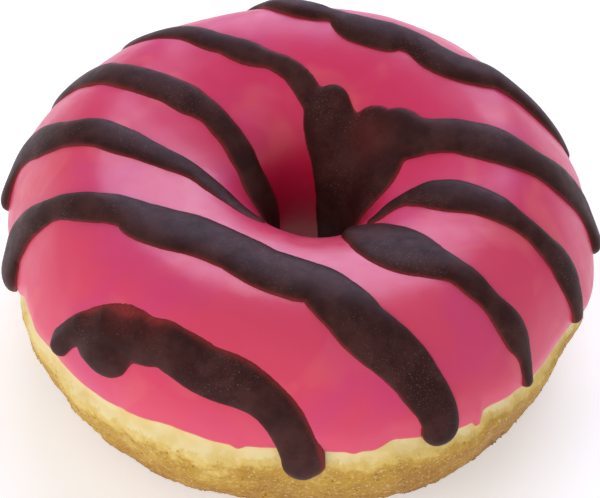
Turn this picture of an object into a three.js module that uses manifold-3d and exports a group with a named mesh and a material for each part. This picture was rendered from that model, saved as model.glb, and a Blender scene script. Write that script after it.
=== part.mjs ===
// Mini ring doughnut: a ring of fried dough, pink icing over its upper half, and thick chocolate
// drizzle across the icing. Millimetres and degrees, +Z up. The ring stands on its flat
// underside, with the middle of its outline over the origin and its near side at -Y.
//
// A spot on the ring is given by two angles. Its turn goes round the hole, from +X towards +Y.
// Its tilt goes round the section: 0 at the crest, up to 180 down the outside, and down to -180
// through the hole.

import * as THREE from "three";
import { mergeVertices } from "three/addons/utils/BufferGeometryUtils.js";
import Module from "manifold-3d";

const wasm = await Module();
wasm.setup();

// ---- Driving dimensions ----------------------------------------------------------------------

const RING = {
  radius: 32.5, // axis to the widest part of the outside
  crestRadius: 20, // axis to the top of the section
  holeRadius: 4.4, // axis to the narrowest part of the hole
  height: 27.25, // floor to the crest
  girthHeight: 12.1, // floor to the widest part of the outside
  throatHeight: 11.1, // floor to the narrowest part of the hole
  settle: 1.4, // depth of the round underside that the flat face takes off
};
const HOLE_OFFSET = new THREE.Vector2(1.6, 0.35); // the hole isn't quite in the middle
const OUTLINE_MIDDLE = new THREE.Vector2(0.385, -0.915); // taken off, so that the outline is centred

// Unevenness of the outline and of the crest: [waves round the ring, height, turn of the first].
const OUTLINE_WAVES = [[2, 1.5, -16], [3, 1.2, 27.5], [4, 0.6, 43]];
const CREST_WAVES = [[1, 1.9, 89], [2, 1.1, 70]];
const OUTLINE_LUMPS = [ // [turn, height, half its width in degrees of turn]
  [349, 0.4, 15], [329, -0.45, 16], [298, 0.35, 15], [270, -0.65, 18], [243, 0.3, 15],
  [215, -0.2, 16], [180, -0.85, 26], [150, -0.65, 22], [113, -0.5, 20], [92, 0.25, 12],
  [78, -0.6, 17], [31, -0.3, 18],
];

// Exponent of the section's quarter arcs: 2 is an ellipse, and more is fuller.
const FULLNESS = { mean: 2.12, outside: -0.3, shoulder: -0.14 };

const ICING = {
  thickness: 0.8,
  holeEdge: -112, // tilt where the icing ends in the hole
  lip: 4, // degrees of tilt over which the icing's edge is rounded
};
const ICING_ROUNDING = [[0, 0.5], [0.3, 0.12]]; // of its edge: shares of the lip and the thickness
const HOLE_EDGE_WAVES = [[2, 4, 40], [3, 3, 10]];
const GAP = 0.35; // clear of the dough, under the icing and under drips
const DOUGH_RISE = 14; // degrees of tilt over which bare dough rises from under the icing's edge

// Lower edge of the icing on the outside, where it ran down: [turn, tilt].
const ICING_EDGE = [
  [0, 92], [10, 80], [25, 82], [42, 79], [58, 84], [75, 79], [92, 82], [110, 77], [128, 83],
  [146, 79], [165, 84], [178, 94], [187, 98], [193, 89], [199, 80], [203, 82], [207, 86],
  [213, 85], [223, 85], [230, 84], [237, 81.5], [245, 78.5], [250, 79.5], [257, 82], [265, 82],
  [276, 82.5], [285, 82], [290, 76.5], [296, 78.5], [305, 82], [309, 78.5], [317, 81], [322, 84],
  [328, 84.5], [338, 84], [342, 86], [347, 95], [353, 98],
];

const DRIZZLE = {
  fullWidth: 1.8, // half width from which a line has its full height
  beadReach: 5, // length of the thicker end of a line
  root: 0.25, // depth of its rim in the icing
  rowStep: 2.4, // length of one row of facets
  columns: 10, // facets round its section
  samples: 100, // points that measure its length
};

// Each line of drizzle: its height over the icing, the extra height of its first and last end, and
// its route from one end to the other as [turn, tilt, half its width].
const DRIZZLES = {
  backLow: {
    height: 0.6, beads: [0.2, 0.2],
    route: [
      [98, 82, 1.7], [92, 74, 2], [82, 68, 2.2], [70, 65, 2.3], [57, 66, 2.2], [47, 72, 2],
      [42, 80, 1.8],
    ],
  },
  back: {
    height: 0.85, beads: [0.2, 0],
    route: [
      [104, 78, 1.8], [103.5, 66, 2], [102.5, 54, 1.9], [100.5, 40, 1.8], [97.5, 28.2, 1.8],
      [94, 16.2, 1.9], [90, 9.2, 1.8], [84.5, 3.8, 1.6], [79, 0.8, 1.2], [73, -2.7, 2],
      [66, -3.2, 2.3], [59, -1.5, 2.4], [54, 0.8, 1.9], [48.5, 2.3, 2], [42.5, 3.3, 2.25],
      [36.5, 8.3, 2.2], [33.5, 16.3, 2.3], [32, 25.3, 2.2], [29.4, 32.3, 2.05], [26.6, 39.3, 1.95],
      [24.5, 45.2, 1.8], [23, 54, 1.6], [22, 64, 1.2], [21, 72, 0.8],
    ],
  },
  upperLeft: {
    height: 0.45, beads: [0.2, 0],
    route: [
      [126, 78, 1.7], [127.5, 64, 1.9], [129, 50, 1.9], [130, 38, 1.8], [128.5, 28, 1.7],
      [125.8, 19, 1.7], [123.3, 9.6, 1.65], [120.8, 0, 1.7], [117.3, -5, 1.6], [114.5, -9, 1.7],
      [110.3, -14, 1.65], [105.5, -18.3, 1.35], [100.6, -22, 1.5], [96, -26.5, 1.6],
      [92, -32, 1.7], [87.5, -38.5, 1.6], [81, -43, 1.6],
    ],
  },
  upperRight: {
    height: 0.7, beads: [0.6, 0],
    route: [
      [-0.2, 86, 1.8], [1, 78, 2], [2.8, 70, 2.25], [4, 62, 2.5], [4.2, 50, 2.6], [4, 40, 2.4],
      [4, 30, 2.2], [4.6, 19, 2.4], [6.5, 8.3, 2.7], [8.6, 0, 2.6], [11.5, -7.5, 2.4],
      [14.6, -17, 2.3], [18.5, -25, 2.9], [27, -32, 3.1], [38, -41, 2.8],
    ],
  },
  holeRun: {
    height: 0.8, beads: [0, 0.2],
    route: [
      [82, -33, 1.8], [77, -38, 2.4], [75, -45, 3.1], [69, -54, 3.4], [60, -63, 3.4],
      [52, -72, 3.3], [47, -84, 3.2], [44, -102, 2.6],
    ],
  },
  holePool: {
    height: 0.7, beads: [0, 0.2],
    route: [
      [57, -42, 2.7], [44, -42, 4], [31, -46, 4.5], [21, -56, 4.7], [17, -70, 4.2], [14, -84, 3.8],
      [12, -100, 3.2],
    ],
  },
  middleLeft: {
    height: 0.45, beads: [0.2, 0.2],
    route: [
      [144, 78, 1.6], [145.5, 66, 1.8], [147, 54, 1.9], [146, 42, 2.1], [146, 30.7, 2.2],
      [146.5, 21, 1.9], [146.6, 9.5, 2], [145.8, -1.3, 2.05], [145.1, -8.4, 2], [144.9, -15, 2.1],
      [144.7, -20, 1.75], [144.9, -24.3, 1.6], [146.8, -30.5, 1.6], [149, -37.3, 1.65],
      [153.3, -44.6, 1.8], [158, -51, 1.9], [165, -58, 2.4], [171, -66, 3], [174, -78, 3.4],
      [174, -93, 2.8],
    ],
  },
  middleRight: {
    height: 0.65, beads: [0.2, 0],
    route: [
      [340.2, 84, 0.8], [340.9, 75, 1.25], [341.8, 66, 1.65], [342.6, 58, 1.95], [343.1, 50, 1.9],
      [343.1, 41, 1.6], [343.5, 31, 1.4], [343.6, 22, 1.45], [344.1, 12, 1.8], [344.7, 3.5, 2],
      [345.2, -3, 2.2], [345.3, -8.6, 2.35], [344.6, -16, 2.1], [343.5, -22.5, 1.6],
      [341, -30, 1.05], [335, -36.5, 1], [327, -40, 0.9], [318, -44, 0.8],
    ],
  },
  lowerLeft: {
    height: 0.55, beads: [0.45, 0],
    route: [
      [170.5, 86, 1.5], [169.8, 80, 1.7], [167.8, 74, 1.9], [165.6, 67.5, 2.2], [164.4, 60, 2.5],
      [164.8, 51, 2.6], [166.4, 42, 2.5], [167.7, 34, 2.2], [168.4, 26, 2.1], [169.2, 15, 2.15],
      [171, 4, 2.15], [173, -3, 2.15], [175.6, -9.6, 1.9], [178.5, -15.8, 1.7],
      [181.5, -22.5, 1.5], [186, -28, 1.3], [192.6, -33.2, 1.35], [200, -37.7, 1.4],
      [209.7, -41, 1.35], [222, -44, 1.2], [234, -48, 1],
    ],
  },
  lowerRight: {
    height: 0.65, beads: [0.2, 0.2],
    route: [
      [320.2, 82.5, 0.7], [320.5, 73, 0.95], [321.2, 65, 1.2], [321.3, 56.5, 1.8], [321, 47, 1.9],
      [320, 35, 1.45], [319.1, 23, 1.65], [318, 11, 1.75], [316, 1.7, 2.5], [314, -4.5, 3.3],
      [311.4, -12, 3.7], [309, -20.5, 3.5], [307, -30, 2.9], [302, -38, 2.1], [295, -43, 1.2],
    ],
  },
  front: {
    height: 0.75, beads: [0.65, 0.35],
    route: [
      [190, 95, 2.6], [189, 87, 3.1], [187.8, 79, 3.3], [186.8, 72, 3.2], [186.9, 64, 2.8],
      [187.7, 55, 2.3], [190, 42, 1.75], [192.6, 31, 1.7], [196, 21, 1.85], [199.7, 11.5, 2.05],
      [202.7, 4.1, 2.25], [205.8, -0.4, 2.4], [211, -3.3, 3], [217.5, -6.8, 3.35], [224, -11, 3.5],
      [230, -13.3, 3.5], [237.5, -14.5, 3.4], [247, -14, 3.4], [256, -11.3, 3.35], [264, -9, 3.5],
      [271, -7, 3.4], [277.5, -4.5, 3.1], [281, 0.5, 3.2], [284.1, 9.4, 3.2], [286.7, 19.5, 3.1],
      [289.8, 28.6, 3.15], [292.9, 37, 2.9], [295, 44.5, 2.75], [296.5, 52.5, 2.6],
      [298, 60.5, 2.4], [298.6, 68.5, 2.3], [298.2, 76, 2.15], [298, 83.5, 2],
    ],
  },
  frontLow: {
    height: 0.8, beads: [0.35, 0.35],
    route: [
      [214.5, 78, 1.4], [215.6, 72, 1.6], [217, 65.5, 1.7], [219, 59, 1.9], [221.8, 53.5, 2.1],
      [226, 47.8, 2.6], [231, 44.4, 3.2], [236.6, 43, 3], [240.8, 40.8, 2.9], [246, 42.8, 3],
      [251, 45.8, 3.1], [256, 47.6, 3.15], [260.3, 50.2, 2.9], [263.9, 54.3, 2.55],
      [266.9, 59.6, 2.4], [269, 65.5, 2.4], [270.8, 73.4, 2.45], [271.9, 82, 2.45],
      [272.4, 90, 2.4], [272.6, 101, 2.3],
    ],
  },
  frontLowDrip: {
    height: 0.7, beads: [0, 0.3],
    route: [[227, 47, 3], [227.3, 53, 3.6], [227.8, 59, 3.9], [228.6, 64.5, 3.7], [229, 69.6, 2.9]],
  },
};

const SEGMENTS = 64; // facets round the ring
const NORMAL_REACH = 1.5; // degrees to the neighbours that give the skin's slope
const DOUGH_STEPS = { outside: 5, rise: 2, underIcing: 12, inside: 4 }; // facets round the section
const ICING_STEPS = 12; // facets from edge to edge, on each face

// ---- The ring's skin --------------------------------------------------------------------------

const { degToRad, radToDeg, lerp, clamp, smoothstep } = THREE.MathUtils;

/** Raises a signed number to a power and keeps its sign. */
const signedPower = (base, exponent) => Math.sign(base) * Math.abs(base) ** exponent;

/** Sum of cosine waves at a turn. */
const wave = (waves, turn) =>
  waves.reduce((sum, [count, size, first]) => sum + size * Math.cos(count * degToRad(turn - first)), 0);

/** Sum of smooth lumps at a turn. */
const lumps = (list, turn) =>
  list.reduce((sum, [at, size, reach]) => {
    const away = Math.abs(wrapped(turn - at));
    return sum + size * smoothstep(reach - away, 0, reach);
  }, 0);

/** Exponent of the section at a tilt. */
function fullness(tilt) {
  const sine = Math.sin(degToRad(tilt));
  return FULLNESS.mean + FULLNESS.outside * sine + FULLNESS.shoulder * Math.sin(degToRad(2 * tilt));
}

/** The quarter of the section that holds a spot: how far it reaches, and from which height. */
function quarter(turn, outside, above) {
  const middle = outside ? RING.girthHeight : RING.throatHeight;
  const uneven = wave(OUTLINE_WAVES, turn) + lumps(OUTLINE_LUMPS, turn);
  return {
    reach: outside
      ? RING.radius + uneven - RING.crestRadius
      : RING.crestRadius - RING.holeRadius,
    middle,
    rise: above ? RING.height + wave(CREST_WAVES, turn) - middle : middle + RING.settle,
  };
}

/** Sideways shift towards the hole's own middle, for a spot at a radius. */
function holeShift(radius) {
  const share = smoothstep(RING.crestRadius - radius, 0, RING.crestRadius - RING.holeRadius);
  return HOLE_OFFSET.clone().multiplyScalar(share).sub(OUTLINE_MIDDLE);
}

/** Point on the doughnut's outer skin: the icing's face above, and bare dough below. */
function skin(turn, tilt) {
  const sine = Math.sin(degToRad(tilt));
  const cosine = Math.cos(degToRad(tilt));
  const exponent = 2 / fullness(tilt);
  const { reach, middle, rise } = quarter(turn, sine > 0, cosine > 0);
  const radius = RING.crestRadius + reach * signedPower(sine, exponent);
  const height = middle + rise * signedPower(cosine, exponent);
  const shift = holeShift(radius);
  return new THREE.Vector3(
    radius * Math.cos(degToRad(turn)) + shift.x,
    radius * Math.sin(degToRad(turn)) + shift.y,
    Math.max(height, 0),
  );
}

/** Outward normal of the skin. */
function skinNormal(turn, tilt) {
  const round = skin(turn + NORMAL_REACH, tilt).sub(skin(turn - NORMAL_REACH, tilt));
  const down = skin(turn, tilt + NORMAL_REACH).sub(skin(turn, tilt - NORMAL_REACH));
  return down.cross(round).normalize();
}

/** Point at a height above the skin, or below it where the height is negative. */
const overSkin = (turn, tilt, height) =>
  skin(turn, tilt).addScaledVector(skinNormal(turn, tilt), height);

/** The spot [turn, tilt] of the skin beside a point that lies near the spot given. */
function spotBeside(point, turnNear, tiltNear) {
  const nearSkin = skin(turnNear, tiltNear).add(OUTLINE_MIDDLE);
  const shift = holeShift(Math.hypot(nearSkin.x, nearSkin.y));
  const x = point.x - shift.x;
  const y = point.y - shift.y;
  const turn = turnNear + wrapped(radToDeg(Math.atan2(y, x)) - turnNear);
  const radius = Math.hypot(x, y);
  const outside = radius > RING.crestRadius;
  const { reach, middle } = quarter(turn, outside, true);
  const { rise } = quarter(turn, outside, point.z > middle);
  const power = fullness(tiltNear) / 2;
  const sine = signedPower((radius - RING.crestRadius) / reach, power);
  const cosine = signedPower((point.z - middle) / rise, power);
  return [turn, tiltNear + wrapped(radToDeg(Math.atan2(sine, cosine)) - tiltNear)];
}

/** An angle brought into the range from -180 to 180. */
const wrapped = (angle) => angle - 360 * Math.round(angle / 360);

/** Tilt of the icing's lower edge on the outside, eased from one named point to the next. */
function outerEdge(turn) {
  const here = ((turn % 360) + 360) % 360;
  const after = ICING_EDGE.findIndex(([at]) => at > here);
  const [endTurn, endTilt] = ICING_EDGE[Math.max(after, 0)];
  const [startTurn, startTilt] = ICING_EDGE.at(Math.max(after, 0) - 1);
  const span = (endTurn - startTurn + 360) % 360;
  const share = ((here - startTurn + 360) % 360) / span;
  return lerp(startTilt, endTilt, smoothstep(share, 0, 1));
}

/** Tilt of the icing's edge in the hole. */
const innerEdge = (turn) => ICING.holeEdge - wave(HOLE_EDGE_WAVES, turn);

// ---- Solids -----------------------------------------------------------------------------------

/** Moves each vertex of a closed geometry to where its texture coordinates say. */
function warped(geometry, place) {
  const { position, uv } = geometry.attributes;
  for (let i = 0; i < position.count; i += 1) {
    const { x, y, z } = place(uv.getX(i), uv.getY(i));
    position.setXYZ(i, x, y, z);
  }
  geometry.deleteAttribute("normal");
  geometry.deleteAttribute("uv");
  return mergeVertices(geometry, 1e-4);
}

/** A closed ring whose section at each turn is a loop of points, from the outside over the top. */
function ringOf(sectionAt) {
  const count = sectionAt(0).length;
  const torus = new THREE.TorusGeometry(RING.crestRadius, 1, count, SEGMENTS);
  return warped(torus, (u, v) => sectionAt(360 * u)[Math.round(v * count) % count]);
}

/** Even steps from one number to another, without the last. */
const steps = (from, to, count) => Array.from({ length: count }, (_, k) => lerp(from, to, k / count));

/** How much of a spot the icing covers: 1 under it, falling to 0 on bare dough. */
function cover(turn, tilt) {
  const outside = smoothstep(outerEdge(turn) + DOUGH_RISE - tilt, 0, DOUGH_RISE - 1);
  const inside = smoothstep(tilt - innerEdge(turn) + DOUGH_RISE, 0, DOUGH_RISE - 1);
  return Math.min(outside, inside);
}

/** The dough, or the same form grown by an amount. */
function doughGeometry(growth) {
  const depth = ICING.thickness + GAP;
  return ringOf((turn) => {
    const edge = outerEdge(turn);
    const hole = innerEdge(turn);
    const tilts = [
      ...steps(180, edge + DOUGH_RISE, DOUGH_STEPS.outside),
      ...steps(edge + DOUGH_RISE, edge + 1, DOUGH_STEPS.rise),
      ...steps(edge + 1, hole - 1, DOUGH_STEPS.underIcing),
      ...steps(hole - 1, hole - DOUGH_RISE, DOUGH_STEPS.rise),
      ...steps(hole - DOUGH_RISE, -180, DOUGH_STEPS.inside),
    ];
    return tilts.map((tilt) => overSkin(turn, tilt, growth - depth * cover(turn, tilt)));
  });
}

/** The icing: a shell with rounded edges, from its lower edge over the crest into the hole. */
function icingGeometry() {
  return ringOf((turn) => {
    const edge = outerEdge(turn);
    const hole = innerEdge(turn);
    const top = edge - ICING.lip;
    const bottom = hole + ICING.lip;
    const round = ICING_ROUNDING.map(([along, depth]) => [along * ICING.lip, depth]);
    const section = [
      ...round.map(([along, depth]) => [edge - along, depth]),
      ...steps(top, bottom, ICING_STEPS).map((tilt) => [tilt, 0]),
      [bottom, 0],
      ...round.toReversed().map(([along, depth]) => [hole + along, depth]),
      ...round.slice(1).map(([along, depth]) => [hole + along, 1 - depth]),
      ...steps(bottom, top, ICING_STEPS).map((tilt) => [tilt, 1]),
      [top, 1],
      ...round.slice(1).toReversed().map(([along, depth]) => [edge - along, 1 - depth]),
    ];
    return section.map(([tilt, depth]) => overSkin(turn, tilt, -depth * ICING.thickness));
  });
}

/** Share of the full width at a distance from a round end, both in the same units. */
function roundEnd(distance, halfWidth) {
  const share = clamp(distance / halfWidth, 0, 1);
  return Math.sqrt(share * (2 - share));
}

/** Distance from the first of a run of points to each of them, along the run. */
function distances(points) {
  const walked = [0];
  for (let i = 1; i < points.length; i += 1) {
    walked.push(walked[i - 1] + points[i].distanceTo(points[i - 1]));
  }
  return walked;
}

/** One line of drizzle: a domed band that follows its route over the skin, with round ends. */
function drizzleGeometry({ height, beads, route }) {
  const stations = route.map((station) => new THREE.Vector3(...station));
  const path = new THREE.CatmullRomCurve3(stations, false, "catmullrom", 0.5);
  const onSkin = ({ x: turn, y: tilt }) => skin(turn, tilt);
  const length = distances(path.getPoints(DRIZZLE.samples).map(onSkin)).at(-1);
  const rows = Math.ceil(length / DRIZZLE.rowStep);
  const spots = path.getPoints(rows);
  const points = spots.map(onSkin);
  const walked = distances(points);

  const band = new THREE.SphereGeometry(1, DRIZZLE.columns, rows);
  return warped(band, (u, v) => {
    const row = Math.round((1 - v) * rows);
    const { x: turn, y: tilt, z: halfWidth } = spots[row];
    const heading = points[Math.min(row + 1, rows)].clone().sub(points[Math.max(row - 1, 0)]);
    const side = skinNormal(turn, tilt).cross(heading).normalize();
    const full = roundEnd(walked[row], spots[0].z) * roundEnd(walked[rows] - walked[row], spots[rows].z);
    const across = -Math.cos(2 * Math.PI * u) * halfWidth * full;
    const bulge = Math.sin(2 * Math.PI * u) * full;
    const crown = height * Math.min(halfWidth / DRIZZLE.fullWidth, 1)
      + beads[0] * smoothstep(DRIZZLE.beadReach - walked[row], 0, DRIZZLE.beadReach)
      + beads[1] * smoothstep(walked[row] - walked[rows] + DRIZZLE.beadReach, 0, DRIZZLE.beadReach);
    const lift = (bulge > 0 ? crown + DRIZZLE.root : DRIZZLE.root) * bulge;
    const spot = spotBeside(points[row].clone().addScaledVector(side, across), turn, tilt);
    return overSkin(...spot, lift - DRIZZLE.root);
  });
}

/** A closed geometry as a solid that can be joined and cut. */
function toSolid(geometry) {
  return new wasm.Manifold(new wasm.Mesh({
    numProp: 3,
    vertProperties: new Float32Array(geometry.attributes.position.array),
    triVerts: new Uint32Array(geometry.index.array),
  }));
}

/** A solid as a geometry. */
function toGeometry(solid) {
  const { vertProperties, triVerts } = solid.getMesh();
  const geometry = new THREE.BufferGeometry();
  geometry.setAttribute("position", new THREE.BufferAttribute(vertProperties, 3));
  geometry.setIndex(new THREE.BufferAttribute(triVerts, 1));
  return geometry;
}

/** The icing with all its drizzle fused on, clear of the dough under the drips. */
function icedGeometry() {
  const room = toSolid(doughGeometry(GAP));
  const drizzle = Object.values(DRIZZLES)
    .map((line) => toSolid(drizzleGeometry(line)))
    .reduce((joined, line) => joined.add(line));
  return toGeometry(toSolid(icingGeometry()).add(drizzle.subtract(room)));
}

/** A named sub-part in its material. */
function part(name, geometry, color, roughness) {
  const mesh = new THREE.Mesh(geometry, new THREE.MeshStandardMaterial({ color, roughness, metalness: 0 }));
  mesh.name = name;
  return mesh;
}

const doughnut = new THREE.Group();
doughnut.add(
  part("dough_ring", doughGeometry(0), 0xd9a652, 0.85),
  part("icing", icedGeometry(), 0xd5426c, 0.4),
);

export default doughnut;
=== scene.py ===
"""Mini ring doughnut: fried dough, pink icing over its upper half and chocolate drizzle.

Sizes are in millimetres and angles in degrees until a mesh is made, +Z up. A spot on the ring is
given by two angles: its turn goes round the hole from +X towards +Y, and its tilt goes round the
section, 0 at the crest, up to 180 down the outside and down to -180 through the hole.
"""

import logging
import math
import random
from dataclasses import dataclass
from enum import Enum

import bmesh
import bpy
import numpy as np
from mathutils import Euler, Matrix, Vector, noise


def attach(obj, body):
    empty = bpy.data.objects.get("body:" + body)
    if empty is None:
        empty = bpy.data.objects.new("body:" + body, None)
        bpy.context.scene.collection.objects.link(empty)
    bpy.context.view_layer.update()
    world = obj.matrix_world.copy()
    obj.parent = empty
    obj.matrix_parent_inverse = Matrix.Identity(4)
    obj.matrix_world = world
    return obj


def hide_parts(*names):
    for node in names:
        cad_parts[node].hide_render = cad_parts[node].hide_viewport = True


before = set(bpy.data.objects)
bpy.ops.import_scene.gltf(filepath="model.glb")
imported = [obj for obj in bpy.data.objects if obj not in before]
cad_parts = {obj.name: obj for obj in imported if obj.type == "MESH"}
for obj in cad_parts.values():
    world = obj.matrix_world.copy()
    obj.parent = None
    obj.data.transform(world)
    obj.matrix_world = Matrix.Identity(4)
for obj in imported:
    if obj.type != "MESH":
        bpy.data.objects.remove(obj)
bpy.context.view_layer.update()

Array = np.ndarray
Material = bpy.types.Material
Mesh = bpy.types.Mesh
Socket = bpy.types.NodeSocket
Pair = tuple[float, float]
Triple = tuple[float, float, float]

LOG = logging.getLogger("mini_doughnut")
PHOTO_SIZE = (600, 498)
BODY = "root"
MM = 0.001


class Node(Enum):
    """The CAD nodes that the pieces stand for."""

    DOUGH = "dough_ring"
    ICING = "icing"


class Slot(Enum):
    """The record's material slots."""

    DOUGH = "dough"
    ICING = "icing"
    CHOCOLATE = "chocolate"


# ---- Numbers along a curve ----


def signed_power(base: Array, exponent: Array) -> Array:
    """Raises signed numbers to a power and keeps their signs."""
    return np.sign(base) * np.abs(base) ** exponent


def eased(share: Array) -> Array:
    """Smooth step from 0 to 1 as the share goes from 0 to 1."""
    kept = np.clip(share, 0.0, 1.0)
    return kept * kept * (3.0 - 2.0 * kept)


def rounded(share: Array) -> Array:
    """Quarter of a circle from 0 to 1 as the share goes from 0 to 1."""
    kept = np.clip(share, 0.0, 1.0)
    return np.sqrt(kept * (2.0 - kept))


def wrapped(angle: Array) -> Array:
    """Angles brought into the range from -180 to 180."""
    return angle - 360.0 * np.round(angle / 360.0)


@dataclass(frozen=True)
class Relief:
    """One layer of smooth unevenness, up to a height, with bumps of a size.

    The seed sets one layer apart from another. Each octave past the first adds finer bumps.
    """

    height: float
    size: float
    seed: float
    octaves: int = 1

    def at(self, points: Array, seed: float = 0.0) -> Array:
        """Height of the layer at points.

        Args:
            points: The points, one to a row.
            seed: A further seed, added to the layer's own.

        Returns:
            A height for each point.
        """
        seed = self.seed + seed
        apart = Vector((seed, 1.7 * seed + 3.1, 5.3 - seed))
        spots = [Vector(point) / self.size + apart for point in points]
        if self.octaves == 1:
            return self.height * np.array([noise.noise(spot) for spot in spots])
        return self.height * np.array([noise.fractal(spot, 0.9, 2.1, self.octaves) for spot in spots])


def layered(layers: tuple[Relief, ...], points: Array, seed: float = 0.0) -> Array:
    """Height of several layers of unevenness at points."""
    return sum(layer.at(points, seed) for layer in layers)


@dataclass(frozen=True)
class Wave:
    """One cosine wave round the ring."""

    count: int
    height: float
    first_turn: float

    def at(self, turn: Array) -> Array:
        """Height of the wave at a turn."""
        return self.height * np.cos(self.count * np.radians(turn - self.first_turn))


# ---- The ring's skin ----


@dataclass(frozen=True)
class RingSkin:
    """The doughnut's outer skin: the icing's face above, and bare dough below."""

    radius: float = 32.5  # axis to the widest part of the outside
    crest_radius: float = 20.0  # axis to the top of the section
    hole_radius: float = 4.4  # axis to the narrowest part of the hole
    height: float = 27.25  # floor to the crest
    girth_height: float = 12.1  # floor to the widest part of the outside
    throat_height: float = 11.1  # floor to the narrowest part of the hole
    settle: float = 1.4  # depth of the round underside that the flat face takes off
    hole_offset: Pair = (1.6, 0.35)
    outline_middle: Pair = (0.385, -0.915)
    outline_waves: tuple[Wave, ...] = (Wave(2, 1.5, -16), Wave(3, 1.2, 27.5), Wave(4, 0.6, 43))
    crest_waves: tuple[Wave, ...] = (Wave(1, 1.9, 89), Wave(2, 1.1, 70))
    lumps: tuple[Triple, ...] = (  # turn, height, half its width
        (349, 0.40, 15), (329, -0.45, 16), (298, 0.35, 15), (270, -0.65, 18), (243, 0.30, 15),
        (215, -0.20, 16), (180, -0.85, 26), (150, -0.65, 22), (113, -0.50, 20), (92, 0.25, 12),
        (78, -0.60, 17), (31, -0.30, 18),
    )
    mean_fullness: float = 2.12  # exponent of the section's arcs: 2 is an ellipse
    outside_fullness: float = -0.3
    shoulder_fullness: float = -0.14
    slope_reach: float = 1.5  # degrees to the neighbours that give the skin's slope

    def fullness(self, tilt: Array) -> Array:
        """Exponent of the section at a tilt."""
        angle = np.radians(tilt)
        return (self.mean_fullness + self.outside_fullness * np.sin(angle)
                + self.shoulder_fullness * np.sin(2.0 * angle))

    def quarter(self, turn: Array, outside: Array, above: Array) -> tuple:
        """The quarter of the section that holds a spot.

        Args:
            turn: Turn of the spot.
            outside: Whether it lies outside the crest.
            above: Whether it lies above the widest or narrowest part.

        Returns:
            How far the quarter reaches sideways, the height where it starts, and its rise.
        """
        middle = np.where(outside, self.girth_height, self.throat_height)
        widest = self.radius + sum(wave.at(turn) for wave in self.outline_waves)
        for at, height, half_width in self.lumps:
            widest = widest + height * eased(1.0 - np.abs(wrapped(turn - at)) / half_width)
        top = self.height + sum(wave.at(turn) for wave in self.crest_waves)
        reach = np.where(outside, widest - self.crest_radius, self.crest_radius - self.hole_radius)
        return reach, middle, np.where(above, top - middle, middle + self.settle)

    def shift(self, radius: Array) -> Array:
        """Sideways shift towards the hole's own middle, for spots at a radius."""
        share = eased((self.crest_radius - radius) / (self.crest_radius - self.hole_radius))
        return share[..., None] * np.array(self.hole_offset) - np.array(self.outline_middle)

    def point(self, turn: Array, tilt: Array) -> Array:
        """Points of the skin at given spots."""
        turn, tilt = np.broadcast_arrays(np.asarray(turn, float), np.asarray(tilt, float))
        sine, cosine = np.sin(np.radians(tilt)), np.cos(np.radians(tilt))
        exponent = 2.0 / self.fullness(tilt)
        reach, middle, rise = self.quarter(turn, sine > 0, cosine > 0)
        radius = self.crest_radius + reach * signed_power(sine, exponent)
        height = middle + rise * signed_power(cosine, exponent)
        shift = self.shift(radius)
        return np.stack([
            radius * np.cos(np.radians(turn)) + shift[..., 0],
            radius * np.sin(np.radians(turn)) + shift[..., 1],
            np.maximum(height, 0.0),
        ], axis=-1)

    def normal(self, turn: Array, tilt: Array) -> Array:
        """Outward normals of the skin at given spots."""
        reach = self.slope_reach
        around = self.point(turn + reach, tilt) - self.point(turn - reach, tilt)
        down = self.point(turn, tilt + reach) - self.point(turn, tilt - reach)
        normal = np.cross(down, around)
        return normal / np.linalg.norm(normal, axis=-1, keepdims=True)

    def over(self, turn: Array, tilt: Array, height: Array) -> Array:
        """Points at a height above the skin, or below it where the height is negative."""
        return self.point(turn, tilt) + self.normal(turn, tilt) * np.asarray(height)[..., None]

    def locate(self, points: Array, passes: int = 5) -> tuple:
        """The spots of the skin beside points that lie near it.

        Args:
            points: The points, one to a row.
            passes: Times that the shift and the fullness are worked out anew.

        Returns:
            The turn and the tilt of each spot, and the point's height over the skin.
        """
        x, y, z = np.moveaxis(points, -1, 0)
        radius, tilt = np.hypot(x, y), np.zeros(x.shape)
        for _ in range(passes):
            shift = self.shift(radius)
            flat_x, flat_y = x - shift[..., 0], y - shift[..., 1]
            radius, turn = np.hypot(flat_x, flat_y), np.degrees(np.arctan2(flat_y, flat_x))
            outside = radius > self.crest_radius
            reach, middle, _ = self.quarter(turn, outside, True)
            _, _, rise = self.quarter(turn, outside, z > middle)
            power = self.fullness(tilt) / 2.0
            tilt = np.degrees(np.arctan2(
                signed_power((radius - self.crest_radius) / reach, power),
                signed_power((z - middle) / rise, power),
            ))
        gap = points - self.point(turn, tilt)
        return turn, tilt, np.sum(gap * self.normal(turn, tilt), axis=-1)


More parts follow.
